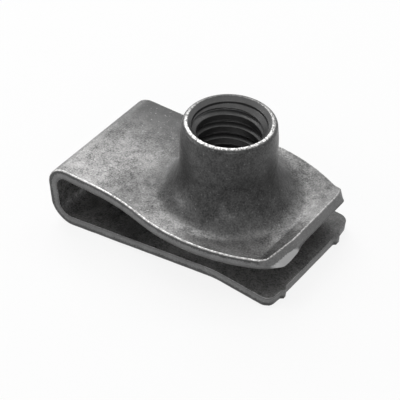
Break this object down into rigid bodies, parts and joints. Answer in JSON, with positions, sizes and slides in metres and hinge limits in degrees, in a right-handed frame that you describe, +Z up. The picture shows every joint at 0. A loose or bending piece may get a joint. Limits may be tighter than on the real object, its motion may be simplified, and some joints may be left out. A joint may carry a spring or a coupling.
{
  "type": "u clip nut",
  "caption": "U-shaped spring steel clip nut with a tall threaded barrel on the upper leg and a clearance hole in the lower leg.",
  "frame": {"origin": "centre of the bounding box, on the surface the nut stands on", "axes": "+X along the legs towards the open end, +Y across the strip, +Z up along the barrel"},
  "size_m": [0.0234, 0.0152, 0.0126],
  "materials": {
    "phosphated_steel": "dark grey phosphate and oil over spring steel"
  },
  "bodies": {
    "root": {"clip_nut": "phosphated_steel"}
  },
  "joints": []
}
